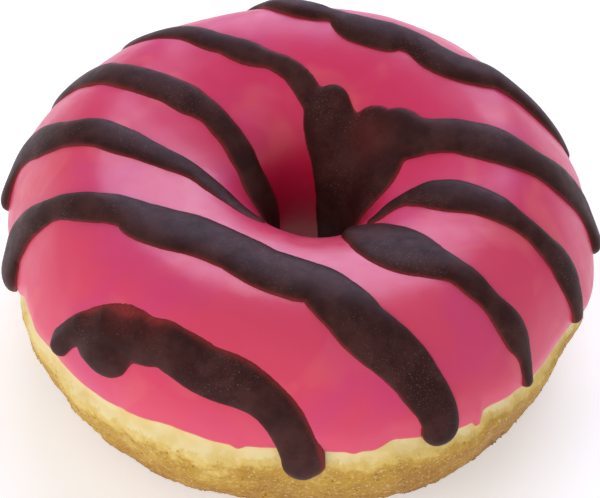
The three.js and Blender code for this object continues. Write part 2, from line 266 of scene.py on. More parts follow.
@dataclass(frozen=True)
class IcingEdges:
    """Where the icing ends: low on the outside, where it ran down, and in the hole."""

    outside: tuple[Pair, ...] = (
        (0, 92), (10, 80), (25, 82), (42, 79), (58, 84), (75, 79), (92, 82), (110, 77), (128, 83),
        (146, 79), (165, 84), (178, 94), (187, 98), (193, 89), (199, 80), (203, 82),
        (207, 86), (213, 85), (223, 85), (230, 84), (237, 81.5), (245, 78.5), (250, 79.5),
        (257, 82), (265, 82), (276, 82.5), (285, 82), (290, 76.5), (296, 78.5), (305, 82),
        (309, 78.5), (317, 81), (322, 84), (328, 84.5), (338, 84), (342, 86), (347, 95),
        (353, 98),
    )
    drips: tuple[Triple, ...] = (  # turn, extra tilt, half its width
        (259.5, 2.0, 1.8), (281.7, 1.3, 1.8), (307, 6.5, 1.4), (321, 2.5, 1.5), (236, 0.8, 1.6),
        (30, 1.6, 2.2), (66, 1.2, 1.8), (120, 1.8, 2.0), (150, 1.1, 1.7),
    )
    ripples: tuple[Relief, ...] = (Relief(0.5, 2.6, 4.0), Relief(0.25, 1.1, 9.0))  # in degrees
    rim_radius: float = 32.5  # of the circle along which the edge wavers
    hole: float = -112.0
    hole_waves: tuple[Wave, ...] = (Wave(2, 4, 40), Wave(3, 3, 10))

    def low(self, turn: Array) -> Array:
        """Tilt of the lower edge on the outside, eased from one named point to the next."""
        at = np.array([point[0] for point in self.outside], float)
        tilts = np.array([point[1] for point in self.outside], float)
        here = np.mod(turn, 360.0)
        after = np.searchsorted(at, here, side="right") % len(at)
        span = np.mod(at[after] - at[after - 1], 360.0)
        share = eased(np.mod(here - at[after - 1], 360.0) / span)
        return tilts[after - 1] + share * (tilts[after] - tilts[after - 1])

    def low_with_drips(self, turn: Array) -> Array:
        """The lower edge with its small drips and its wavering line."""
        edge = self.low(turn)
        for at, extra, half_width in self.drips:
            edge = edge + extra * eased(1.0 - np.abs(wrapped(turn - at)) / half_width)
        rim = np.stack([np.cos(np.radians(turn)), np.sin(np.radians(turn)), 0.0 * turn], axis=-1)
        return edge + layered(self.ripples, rim * self.rim_radius)

    def in_hole(self, turn: Array) -> Array:
        """Tilt of the edge in the hole."""
        return self.hole - sum(wave.at(turn) for wave in self.hole_waves)


# ---- Meshes ----


def to_mesh(bm: bmesh.types.BMesh, name: str) -> Mesh:
    """Makes a named mesh of a bmesh, and frees it."""
    mesh = bpy.data.meshes.new(name)
    bm.to_mesh(mesh)
    bm.free()
    return mesh


def add_object(name: str, data: bpy.types.ID) -> bpy.types.Object:
    """Puts a named object into the scene."""
    made = bpy.data.objects.new(name, data)
    bpy.context.scene.collection.objects.link(made)
    return made


def ring_mesh(name: str, rows: int, turns: int) -> Mesh:
    """Makes a closed ring by rolling a grid up and welding its seams.

    Args:
        name: Name of the mesh.
        rows: Facets round the section.
        turns: Facets round the hole.

    Returns:
        The ring, whose section has a radius of 1 and lies 2 from the axis.
    """
    bm = bmesh.new()
    bmesh.ops.create_grid(bm, x_segments=turns, y_segments=rows, size=math.pi)
    for vert in bm.verts:
        turn, around, _ = vert.co
        reach = 2.0 + math.cos(around)
        vert.co = (reach * math.cos(turn), reach * math.sin(turn), math.sin(around))
    seams = [vert for vert in bm.verts if vert.is_boundary]
    bmesh.ops.remove_doubles(bm, verts=seams, dist=1e-4)
    bmesh.ops.recalc_face_normals(bm, faces=bm.faces[:])
    return to_mesh(bm, name)


def corners(mesh: Mesh) -> Array:
    """A mesh's vertices, one to a row."""
    flat = np.empty(len(mesh.vertices) * 3, np.float32)
    mesh.vertices.foreach_get("co", flat)
    return flat.reshape(-1, 3).astype(float)


def unrolled(mesh: Mesh, rows: int, first: float = 0.0) -> tuple:
    """Finds each vertex's place on a closed unit ring.

    Args:
        mesh: The ring.
        rows: Facets round its section.
        first: Degrees round the section from its first row to the ring's widest line.

    Returns:
        The turn and the row of each vertex.
    """
    x, y, z = corners(mesh).T
    around = np.degrees(np.arctan2(z, np.hypot(x, y) - 2.0)) + first
    row = np.mod(np.round(around / 360.0 * rows), rows).astype(int)
    return np.degrees(np.arctan2(y, x)), row


def move_corners(mesh: Mesh, points: Array) -> None:
    """Moves a mesh's vertices to points in metres."""
    mesh.vertices.foreach_set("co", points.astype(np.float32).ravel())
    mesh.update()


def paint(mesh: Mesh, name: str, values: Array) -> None:
    """Stores a number for each vertex, for the materials to read."""
    mesh.attributes.new(name, "FLOAT", "POINT").data.foreach_set("value", values.astype(np.float32))


def finish_piece(name: str, mesh: Mesh, material: Material, node: Node) -> None:
    """Makes a piece of a finished mesh and ties it to the CAD model.

    Args:
        name: Name of the piece.
        mesh: Its mesh, in place and in metres.
        material: Its finish.
        node: The CAD node that it stands for.
    """
    piece = add_object(name, mesh)
    mesh.shade_smooth()
    mesh.materials.clear()
    mesh.materials.append(material)
    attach(piece, BODY)
    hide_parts(node.value)
    LOG.info("%s: %d vertices, %d faces", name, len(mesh.vertices), len(mesh.polygons))


# ---- Finishes ----


class Shader:
    """The node tree of one material, with short ways to add to it."""

    def __init__(self, name: str) -> None:
        """Starts a material with its principled shader."""
        self.material = bpy.data.materials.new(name)
        self.material.use_nodes = True
        self.tree = self.material.node_tree
        self.surface = self.tree.nodes["Principled BSDF"]
        self.coordinates = self.tree.nodes.new("ShaderNodeTexCoord").outputs["Object"]

    def feed(self, socket: Socket, value: object) -> None:
        """Gives a socket a number, a colour or another socket's result."""
        if isinstance(value, Socket):
            self.tree.links.new(value, socket)
        elif isinstance(value, tuple):
            socket.default_value = (*value, 1.0)[:len(socket.default_value)]
        else:
            socket.default_value = value

    def add(self, kind: str, inputs: dict[str | int, object]) -> bpy.types.Node:
        """Adds a node of a kind, and feeds its inputs."""
        node = self.tree.nodes.new("ShaderNode" + kind)
        for key, value in inputs.items():
            self.feed(node.inputs[key], value)
        return node

    def set(self, **values: object) -> None:
        """Feeds the surface's own sockets, named in lower case with underscores."""
        for socket in self.surface.inputs:
            key = socket.name.lower().replace(" ", "_")
            if key in values:
                self.feed(socket, values[key])

    def noise(self, size: float, detail: float = 2.0, roughness: float = 0.5,
              distortion: float = 0.0) -> Socket:
        """Noise in the object's own space.

        Args:
            size: Size of a patch, in millimetres.
            detail: Layers of finer noise.
            roughness: Strength of the finer layers.
            distortion: How far the patches are pulled about.

        Returns:
            The socket that gives a number of about 0 to 1.
        """
        node = self.add("TexNoise", {
            "Vector": self.coordinates, "Scale": 1.0 / (size * MM), "Detail": detail,
            "Roughness": roughness, "Distortion": distortion,
        })
        return node.outputs["Fac"]

    def attribute(self, name: str) -> Socket:
        """The socket of a number stored on the mesh."""
        node = self.add("Attribute", {})
        node.attribute_name = name
        return node.outputs["Fac"]

    def ramp(self, source: Socket, *stops: tuple) -> Socket:
        """Turns a number into a colour.

        Args:
            source: The number's socket.
            stops: Position and colour of each stop, in order; a colour may be one grey number.

        Returns:
            The colour's socket.
        """
        node = self.add("ValToRGB", {"Fac": source})
        node.color_ramp.interpolation = "EASE"
        elements = node.color_ramp.elements
        while len(elements) < len(stops):
            elements.new(0.5)
        for element, (position, colour) in zip(elements, stops):
            element.position = position
            element.color = (colour,) * 3 + (1.0,) if isinstance(colour, float) else (*colour, 1.0)
        return node.outputs["Color"]

    def mix(self, share: object, first: object, second: object) -> Socket:
        """Mixes two colours.

        Args:
            share: Share of the second, as a number or a socket.
            first: The first colour, as three numbers or a socket.
            second: The second colour.

        Returns:
            The mixed colour's socket.
        """
        node = self.add("Mix", {0: share})
        node.data_type = "RGBA"
        self.feed(node.inputs[6], first)
        self.feed(node.inputs[7], second)
        return node.outputs[2]

    def math(self, first: object, second: object, operation: str = "MULTIPLY") -> Socket:
        """One sum of two numbers or sockets, by Blender's name for the operation."""
        node = self.add("Math", {0: first, 1: second})
        node.operation = operation
        return node.outputs[0]

    def bump(self, *layers: tuple[Socket, float]) -> None:
        """Gives the surface fine relief.

        Args:
            layers: The height of each layer as a socket, and its depth in millimetres.
        """
        inputs = {}
        for height, depth in layers:
            node = self.add("Bump", {"Distance": depth * MM, "Height": height, **inputs})
            inputs = {"Normal": node.outputs["Normal"]}
        self.set(normal=node.outputs["Normal"])


@dataclass(frozen=True)
class IcingFinish:
    """Satin raspberry-pink icing with faint coral and lilac clouds, painted light on its front side and
    painted shade in the hole.
    """

    raspberry: Triple = (0.74, 0.026, 0.122)
    # coral: the tone of the random clouds, and of the painted light on the front side
    coral: Triple = (0.79, 0.078, 0.138)
    lilac: Triple = (0.70, 0.042, 0.190)
    thin: Triple = (0.76, 0.22, 0.24)
    # painted shade: the dark crimson that the icing takes deep in the hole
    deep: Triple = (0.48, 0.006, 0.040)

    def material(self) -> Material:
        """Builds the material, which reads three attributes: how thin the icing is, the painted shade in
        the hole and the painted light on the front side.
        """
        shader = Shader("pink_icing")
        warm = shader.ramp(shader.noise(7.0, 2.0, 0.5, 0.4), (0.50, 0.0), (0.68, 1.0))
        cool = shader.ramp(shader.noise(11.0, 2.0, 0.5, 0.2), (0.48, 0.0), (0.66, 1.0))
        # Random coral clouds, and painted light: coral on the front side, where the light falls.
        warm = shader.math(warm, shader.attribute("warm"), "MAXIMUM")
        colour = shader.mix(warm, self.raspberry, self.coral)
        colour = shader.mix(shader.math(cool, 0.6), colour, self.lilac)
        colour = shader.mix(shader.attribute("thin"), colour, self.thin)
        # Painted shade: darker crimson towards the inside of the hole.
        colour = shader.mix(shader.attribute("deep"), colour, self.deep)
        roughness = shader.ramp(shader.noise(1.6, 4.0, 0.6), (0.3, 0.29), (0.7, 0.39))
        shader.bump((shader.noise(0.9, 3.0), 0.010), (shader.noise(0.16, 2.0), 0.003))
        shader.set(base_color=colour, roughness=roughness, specular_ior_level=0.76, ior=1.46,
                   subsurface_weight=0.10, subsurface_scale=0.0016,
                   subsurface_radius=(1.0, 0.32, 0.38))
        return shader.material


@dataclass(frozen=True)
class ChocolateFinish:
    """Matte dark chocolate, reddish where it lies thin, with fine pale specks."""

    dark: Triple = (0.038, 0.0118, 0.0106)
    brown: Triple = (0.066, 0.0235, 0.0214)
    red: Triple = (0.25, 0.030, 0.030)
    speck: Triple = (0.150, 0.098, 0.088)

    def material(self) -> Material:
        """Builds the material, which reads the attribute red."""
        shader = Shader("dark_chocolate")
        clouds = shader.ramp(shader.noise(3.2, 3.0, 0.6), (0.35, 0.0), (0.68, 1.0))
        colour = shader.mix(clouds, self.dark, self.brown)
        specks = shader.ramp(shader.noise(0.15, 1.0), (0.61, 0.0), (0.74, 1.0))
        where = shader.ramp(shader.noise(6.0, 2.0), (0.44, 0.12), (0.64, 0.75))
        colour = shader.mix(shader.math(specks, where), colour, self.speck)
        grain = shader.ramp(shader.noise(0.5, 3.0, 0.6), (0.3, 0.6), (0.7, 1.0))
        colour = shader.mix(shader.math(shader.attribute("red"), grain), colour, self.red)
        roughness = shader.ramp(shader.noise(1.2, 4.0, 0.7), (0.3, 0.38), (0.7, 0.52))
        shader.bump((shader.noise(0.8, 3.0), 0.012), (shader.noise(0.14, 2.0), 0.010))
        shader.set(base_color=colour, roughness=roughness, specular_ior_level=0.12, ior=1.46)
        return shader.material


@dataclass(frozen=True)
class DoughFinish:
    """Fried dough, from the pale band under the icing to the golden brown underside."""

    cream: Triple = (0.86, 0.73, 0.38)
    straw: Triple = (0.76, 0.56, 0.17)
    gold: Triple = (0.53, 0.31, 0.046)
    brown: Triple = (0.39, 0.19, 0.030)
    crust: Triple = (0.24, 0.105, 0.028)
    crumb: Triple = (0.88, 0.72, 0.40)
    butter: Triple = (0.78, 0.57, 0.17)
    fleck: Triple = (0.36, 0.17, 0.030)

    def material(self) -> Material:
        """Builds the material, which reads the attribute browning."""
        shader = Shader("fried_dough")
        fine = shader.math(shader.math(shader.noise(0.7, 4.0, 0.7), 0.5, "SUBTRACT"), 0.42)
        browning = shader.math(shader.attribute("browning"), fine, "ADD")
        colour = shader.ramp(browning, (0.11, self.cream), (0.28, self.straw), (0.46, self.gold),
                             (0.74, self.brown), (1.0, self.crust))
        patches = shader.ramp(shader.noise(3.6, 2.0, 0.5, 0.3), (0.40, 0.0), (0.64, 0.60))
        high = shader.ramp(shader.attribute("browning"), (0.15, 1.0), (0.50, 0.0))
        colour = shader.mix(shader.math(patches, high), colour, self.butter)
        low = shader.ramp(shader.attribute("browning"), (0.25, 0.0), (0.55, 1.0))
        flecks = shader.ramp(shader.noise(0.50, 3.0, 0.65), (0.54, 0.0), (0.68, 0.60))
        colour = shader.mix(shader.math(flecks, low), colour, self.fleck)
        specks = shader.ramp(shader.noise(0.34, 2.0, 0.6), (0.56, 0.0), (0.70, 0.50))
        colour = shader.mix(shader.math(specks, low), colour, self.crumb)
        roughness = shader.ramp(shader.noise(1.0, 3.0), (0.3, 0.62), (0.7, 0.80))
        shader.bump((shader.noise(0.55, 4.0, 0.65), 0.045), (shader.noise(0.16, 2.0), 0.02))
        shader.set(base_color=colour, roughness=roughness, specular_ior_level=0.28,
                   subsurface_weight=0.12, subsurface_scale=0.0012,
                   subsurface_radius=(1.0, 0.6, 0.25))
        return shader.material


# ---- The dough ----


@dataclass
class Dough:
    """The ring of fried dough: smooth and pale under the icing's edge, lumpy and brown low down."""

    skin: RingSkin
    edges: IcingEdges
    finish: DoughFinish = DoughFinish()
    turns: int = 680
    outside_rows: int = 74
    covered_rows: int = 26
    inside_rows: int = 36
    tuck: float = 2.0  # degrees from the icing's edges to the covered rows
    depth_under_icing: float = 0.74
    hem: float = 1.0  # degrees past the icing's edge before the dough rises from under it
    rise: float = 14.0  # degrees past the icing's edge where it has risen
    lumps: tuple[Relief, ...] = (Relief(0.30, 6.5, 1.0), Relief(0.16, 2.6, 2.0))
    crumbly: tuple[Relief, ...] = (Relief(0.16, 1.15, 3.0, 3), Relief(0.07, 0.55, 8.0))
    crumbly_from: float = 12.0  # degrees past the icing's edge
    crumbly_reach: float = 22.0
    crumb_count: int = 1100
    crumb_sizes: Triple = (0.06, 0.22, 0.10)  # least, most, usual
    crumb_widths: Pair = (0.6, 1.0)  # least and most, as shares of its length
    crumb_depths: Pair = (0.45, 0.8)
    crumb_shades: Pair = (-0.20, 0.20)
    crumbs_from: float = 9.0  # degrees past the icing's edge
    crumbs_above: float = 1.0  # height over the floor
    crumb_seed: int = 7
    browning_start: float = 0.36
    browning_reach: float = 18.0  # degrees past the icing's edge over which it starts
    browning_rate: float = 0.008  # for each further degree
    browning_end: float = 90.0
    underside_browning: float = 0.28
    underside_height: float = 4.0
    patches: tuple[Relief, ...] = (Relief(0.13, 5.0, 6.0, 3), Relief(0.10, 1.6, 7.0))
    paler_side: Wave = Wave(2, 0.11, 320)
    hole_browning: float = 0.5
    dents: tuple[tuple[float, float, float, float], ...] = (  # turn, tilt, reach, depth
        (340.5, 108, 6.0, 1.0), (317, 113, 7.0, 0.65), (195, 100, 6.0, 0.35), (235.5, 113, 6.0, 0.5),
    )

    def tilts(self, row: Array, low: Array, in_hole: Array) -> Array:
        """Tilt of a row of facets, where the icing's edges have these tilts."""
        first, last = low - self.tuck, in_hole + self.tuck
        outside = 180.0 + (first - 180.0) * row / self.outside_rows
        covered = (row - self.outside_rows) / self.covered_rows
        inside = (row - self.outside_rows - self.covered_rows) / self.inside_rows
        return np.where(
            covered < 0.0, outside,
            np.where(inside < 0.0, first + (last - first) * covered, last - (180.0 + last) * inside))

    def cover(self, tilt: Array, low: Array, in_hole: Array) -> Array:
        """How much of a spot the icing covers: 1 under it, falling to 0 on bare dough."""
        outside = eased((low + self.rise - tilt) / (self.rise - self.hem))
        inside = eased((tilt - in_hole + self.rise) / (self.rise - self.hem))
        return np.minimum(outside, inside)

    def build(self) -> None:
        """Makes the dough with its crumbs."""
        rows = self.outside_rows + self.covered_rows + self.inside_rows
        mesh = ring_mesh("dough", rows, self.turns)
        turn, row = unrolled(mesh, rows, first=90.0)
        low, in_hole = self.edges.low_with_drips(turn), self.edges.in_hole(turn)
        tilt = self.tilts(row, low, in_hole)
        cover = self.cover(tilt, low, in_hole)

        flat = self.skin.point(turn, tilt)
        bare = eased(1.0 - cover)
        below = np.where(tilt > 0, tilt - low, in_hole - tilt)  # degrees past the icing's edge
        crumbly = np.clip((below - self.crumbly_from) / self.crumbly_reach, 0.0, 1.0)
        height = (bare * layered(self.lumps, flat) + crumbly * layered(self.crumbly, flat)
                  - self.depth_under_icing * cover)
        for at_turn, at_tilt, reach, depth in self.dents:
            away = np.linalg.norm(flat - self.skin.point(at_turn, at_tilt), axis=1)
            height -= depth * bare * eased(1.0 - away / reach)
        points = self.skin.over(turn, tilt, height)
        points[:, 2] = np.maximum(points[:, 2], 0.0)
        move_corners(mesh, points * MM)

        browning = self.browning_start * eased(below / self.browning_reach)
        browning += self.browning_rate * np.clip(below, 0.0, self.browning_end)
        browning += layered(self.patches, flat)
        browning += np.where(tilt > 0, self.paler_side.at(turn), self.hole_browning)
        underside = self.underside_browning * eased(1.0 - points[:, 2] / self.underside_height)
        paint(mesh, "browning", np.clip(browning + underside, 0.0, 1.0))
        material = self.finish.material()
        bare_crust = (tilt > 0) & (below > self.crumbs_from) & (points[:, 2] > self.crumbs_above)
        self.build_crumbs(points[bare_crust], browning[bare_crust], material)
        finish_piece("dough", mesh, material, Node.DOUGH)

    def build_crumbs(self, spots: Array, browning: Array, material: Material) -> None:
        """Makes grains of crust that stand a little out of the low dough.

        Args:
            spots: Points of the dough's face where a grain may sit, in millimetres.
            browning: How brown the dough is at each of them.
            material: Finish of the dough.
        """
        chance = random.Random(self.crumb_seed)
        bm = bmesh.new()
        shades = []
        for _ in range(self.crumb_count):
            spot = chance.randrange(len(spots))
            size = chance.triangular(*self.crumb_sizes) * MM
            turned = Euler([chance.uniform(0.0, math.tau) for _ in range(3)]).to_matrix().to_4x4()
            width, depth = chance.uniform(*self.crumb_widths), chance.uniform(*self.crumb_depths)
            squat = Matrix.Diagonal((1.0, width, depth, 1.0))
            place = Matrix.Translation(Vector(spots[spot] * MM)) @ turned @ squat
            made = bmesh.ops.create_icosphere(bm, subdivisions=1, radius=size, matrix=place)
            shades += [browning[spot] + chance.uniform(*self.crumb_shades)] * len(made["verts"])
        mesh = to_mesh(bm, "crumbs")
        paint(mesh, "browning", np.clip(shades, 0.0, 1.0))
        finish_piece("crumbs", mesh, material, Node.DOUGH)


# ---- The icing ----


@dataclass
class Icing:
    """The shell of pink icing, thin and wavy along its edges."""

    skin: RingSkin
    edges: IcingEdges
    finish: IcingFinish = IcingFinish()
    thickness: float = 0.8
    lip: float = 3.4  # degrees of tilt over which the edges are rounded
    feather: float = 0.34  # by how much the icing thins towards its edges
    feather_reach: float = 11.0
    turns: int = 600
    lip_rows: int = 8
    outer_rows: int = 78
    inner_rows: int = 22
    swells: tuple[Relief, ...] = (Relief(0.13, 8.0, 11.0), Relief(0.05, 3.0, 12.0))
    swell_reach: float = 8.0  # degrees from its edges over which the swells set in
    thin_share: float = 0.75
    thin_reach: float = 2.6
    # Painted shade in the hole: its strongest share, the tilt where it starts and the tilt over which it
    # sets in.
    deep_share: float = 0.85
    deep_from: float = 34.0  # degrees of tilt into the hole
    deep_reach: float = 36.0
    # Painted light on the front side: its share, its offset and the wave round the ring that places it.
    warm_share: float = 0.5
    warm_middle: float = 0.4
    lit_front_side: Wave = Wave(1, 1.25, 250)

    def section(self) -> tuple[Array, Array, Array]:
        """The loop round the shell's section, from its outside edge over the crest.

        Returns:
            For each row its share of the way across, its tilt past that, and its depth.
        """
        quarter = 1.0 - np.cos(np.linspace(0.0, math.pi / 2, self.lip_rows + 1))[:-1]
        edge = self.thickness * (1.0 - rounded(quarter))
        middle = np.linspace(0.0, 1.0, self.outer_rows)
        back = np.linspace(1.0, 0.0, self.inner_rows)
        share = np.concatenate([0 * quarter, middle, 0 * quarter + 1, back])
        past = np.concatenate([self.lip * (1 - quarter), 0 * middle,
                               -self.lip * (1 - quarter[::-1]), 0 * back])
        depth = np.concatenate([edge, 0 * middle, edge[::-1], 0 * back + self.thickness])
        return share, past, depth

    def build(self) -> None:
        """Makes the icing."""
        share, past, depth = self.section()
        rows = len(share)
        mesh = ring_mesh("icing", rows, self.turns)
        turn, row = unrolled(mesh, rows)
        low, in_hole = self.edges.low_with_drips(turn), self.edges.in_hole(turn)
        start, end = low - self.lip, in_hole + self.lip
        tilt = start + (end - start) * share[row] + past[row]

        outer = depth[row] < self.thickness
        from_edge = np.minimum(low - tilt, tilt - in_hole)
        thinner = self.feather * (1.0 - eased(from_edge / self.feather_reach))
        flat = self.skin.point(turn, tilt)
        swell = layered(self.swells, flat) * eased(from_edge / self.swell_reach)
        sunk = depth[row] + np.where(outer, np.minimum(thinner, self.thickness - depth[row]) - swell, 0.0)
        move_corners(mesh, self.skin.over(turn, tilt, -sunk) * MM)
        thin = self.thin_share * (1.0 - eased(from_edge / self.thin_reach))
        paint(mesh, "thin", np.where(outer, thin, 0.0))
        # Painted shade, darker deeper in the hole.
        paint(mesh, "deep", self.deep_share * eased((-tilt - self.deep_from) / self.deep_reach))
        # Painted light, coral on the front side.
        paint(mesh, "warm", self.warm_share * eased(self.lit_front_side.at(turn) + self.warm_middle))
        finish_piece("icing", mesh, self.finish.material(), Node.ICING)


# ---- The drizzle ----


@dataclass(frozen=True)
class Line:
    """One line of drizzle, from one end to the other.

    Each station is a turn, a tilt and half the line's width. The beads are the extra height of the
    first and the last end. The line thins out towards its left side where thin_left is above 0.
    """

    height: float
    beads: Pair
    stations: tuple[Triple, ...]
    thin_left: float = 0.0


# The pieces of drizzle, and the lines of each. Lines that ran together are one piece.
RUNS = {
    "drizzle_hole": (
        Line(0.45, (0.2, 0.0), (  # upper left
            (126, 78, 1.7), (127.5, 64, 1.9), (129, 50, 1.9), (130, 38, 1.8), (128.5, 28, 1.7),
            (125.8, 19, 1.7), (123.3, 9.6, 1.65), (120.8, 0, 1.7), (117.3, -5, 1.6), (114.5, -9, 1.7),
            (110.3, -14, 1.65), (105.5, -18.3, 1.35), (100.6, -22, 1.5), (96, -26.5, 1.6), (92, -32, 1.7),
            (87.5, -38.5, 1.6), (81, -43, 1.6))),
        Line(0.8, (0.0, 0.2), (  # hole run
            (82, -33, 1.8), (77, -38, 2.4), (75, -45, 3.1), (69, -54, 3.4), (60, -63, 3.4),
            (52, -72, 3.3), (47, -84, 3.2), (44, -102, 2.6))),
        Line(0.7, (0.0, 0.2), (  # hole pool
            (57, -42, 2.7), (44, -42, 4), (31, -46, 4.5), (21, -56, 4.7), (17, -70, 4.2), (14, -84, 3.8),
            (12, -100, 3.2))),
        Line(0.7, (0.6, 0.0), (  # upper right
            (-0.2, 86, 1.8), (1, 78, 2), (2.8, 70, 2.25), (4, 62, 2.5), (4.2, 50, 2.6), (4, 40, 2.4),
            (4, 30, 2.2), (4.6, 19, 2.4), (6.5, 8.3, 2.7), (8.6, 0, 2.6), (11.5, -7.5, 2.4),
            (14.6, -17, 2.3), (18.5, -25, 2.9), (27, -32, 3.1), (38, -41, 2.8))),
    ),
    "drizzle_front_low": (
        Line(0.8, (0.35, 0.35), (  # front low
            (214.5, 78, 1.4), (215.6, 72, 1.6), (217, 65.5, 1.7), (219, 59, 1.9), (221.8, 53.5, 2.1),
            (226, 47.8, 2.6), (231, 44.4, 3.2), (236.6, 43, 3), (240.8, 40.8, 2.9), (246, 42.8, 3),
            (251, 45.8, 3.1), (256, 47.6, 3.15), (260.3, 50.2, 2.9), (263.9, 54.3, 2.55),
            (266.9, 59.6, 2.4), (269, 65.5, 2.4), (270.8, 73.4, 2.45), (271.9, 82, 2.45),
            (272.4, 90, 2.4), (272.6, 101, 2.3)), thin_left=0.75),
        Line(0.7, (0.0, 0.3), (  # front low drip
            (227, 47, 3), (227.3, 53, 3.6), (227.8, 59, 3.9), (228.6, 64.5, 3.7), (229, 69.6, 2.9))),
    ),
    "drizzle_front": (
        Line(0.75, (0.65, 0.35), (
            (190, 95, 2.6), (189, 87, 3.1), (187.8, 79, 3.3), (186.8, 72, 3.2), (186.9, 64, 2.8),
            (187.7, 55, 2.3), (190, 42, 1.75), (192.6, 31, 1.7), (196, 21, 1.85), (199.7, 11.5, 2.05),
            (202.7, 4.1, 2.25), (205.8, -0.4, 2.4), (211, -3.3, 3), (217.5, -6.8, 3.35), (224, -11, 3.5),
            (230, -13.3, 3.5), (237.5, -14.5, 3.4), (247, -14, 3.4), (256, -11.3, 3.35), (264, -9, 3.5),
            (271, -7, 3.4), (277.5, -4.5, 3.1), (281, 0.5, 3.2), (284.1, 9.4, 3.2), (286.7, 19.5, 3.1),
            (289.8, 28.6, 3.15), (292.9, 37, 2.9), (295, 44.5, 2.75), (296.5, 52.5, 2.6),
            (298, 60.5, 2.4), (298.6, 68.5, 2.3), (298.2, 76, 2.15), (298, 83.5, 2))),
    ),
    "drizzle_lower_left": (
        Line(0.55, (0.45, 0.0), (
            (170.5, 86, 1.5), (169.8, 80, 1.7), (167.8, 74, 1.9), (165.6, 67.5, 2.2), (164.4, 60, 2.5),
            (164.8, 51, 2.6), (166.4, 42, 2.5), (167.7, 34, 2.2), (168.4, 26, 2.1), (169.2, 15, 2.15),
            (171, 4, 2.15), (173, -3, 2.15), (175.6, -9.6, 1.9), (178.5, -15.8, 1.7), (181.5, -22.5, 1.5),
            (186, -28, 1.3), (192.6, -33.2, 1.35), (200, -37.7, 1.4), (209.7, -41, 1.35), (222, -44, 1.2),
            (234, -48, 1))),
    ),
    "drizzle_middle_left": (
        Line(0.45, (0.2, 0.2), (
            (144, 78, 1.6), (145.5, 66, 1.8), (147, 54, 1.9), (146, 42, 2.1), (146, 30.7, 2.2),
            (146.5, 21, 1.9), (146.6, 9.5, 2), (145.8, -1.3, 2.05), (145.1, -8.4, 2), (144.9, -15, 2.1),
            (144.7, -20, 1.75), (144.9, -24.3, 1.6), (146.8, -30.5, 1.6), (149, -37.3, 1.65),
            (153.3, -44.6, 1.8), (158, -51, 1.9), (165, -58, 2.4), (171, -66, 3), (174, -78, 3.4),
            (174, -93, 2.8))),
    ),
    "drizzle_lower_right": (
        Line(0.65, (0.2, 0.2), (
            (320.2, 82.5, 0.7), (320.5, 73, 0.95), (321.2, 65, 1.2), (321.3, 56.5, 1.8), (321, 47, 1.9),
            (320, 35, 1.45), (319.1, 23, 1.65), (318, 11, 1.75), (316, 1.7, 2.5), (314, -4.5, 3.3),
            (311.4, -12, 3.7), (309, -20.5, 3.5), (307, -30, 2.9), (302, -38, 2.1), (295, -43, 1.2))),
    ),
    "drizzle_middle_right": (
        Line(0.65, (0.2, 0.0), (
            (340.2, 84, 0.8), (340.9, 75, 1.25), (341.8, 66, 1.65), (342.6, 58, 1.95), (343.1, 50, 1.9),
            (343.1, 41, 1.6), (343.5, 31, 1.4), (343.6, 22, 1.45), (344.1, 12, 1.8), (344.7, 3.5, 2),
            (345.2, -3, 2.2), (345.3, -8.6, 2.35), (344.6, -16, 2.1), (343.5, -22.5, 1.6),
            (341, -30, 1.05), (335, -36.5, 1), (327, -40, 0.9), (318, -44, 0.8))),
    ),
    "drizzle_back": (
        Line(0.85, (0.2, 0.0), (
            (104, 78, 1.8), (103.5, 66, 2), (102.5, 54, 1.9), (100.5, 40, 1.8), (97.5, 28.2, 1.8),
            (94, 16.2, 1.9), (90, 9.2, 1.8), (84.5, 3.8, 1.6), (79, 0.8, 1.2), (73, -2.7, 2),
            (66, -3.2, 2.3), (59, -1.5, 2.4), (54, 0.8, 1.9), (48.5, 2.3, 2), (42.5, 3.3, 2.25),
            (36.5, 8.3, 2.2), (33.5, 16.3, 2.3), (32, 25.3, 2.2), (29.4, 32.3, 2.05), (26.6, 39.3, 1.95),
            (24.5, 45.2, 1.8), (23, 54, 1.6), (22, 64, 1.2), (21, 72, 0.8))),
    ),
    "drizzle_back_low": (
        Line(0.6, (0.2, 0.2), (
            (98, 82, 1.7), (92, 74, 2), (82, 68, 2.2), (70, 65, 2.3), (57, 66, 2.2), (47, 72, 2),
            (42, 80, 1.8))),
    ),
}


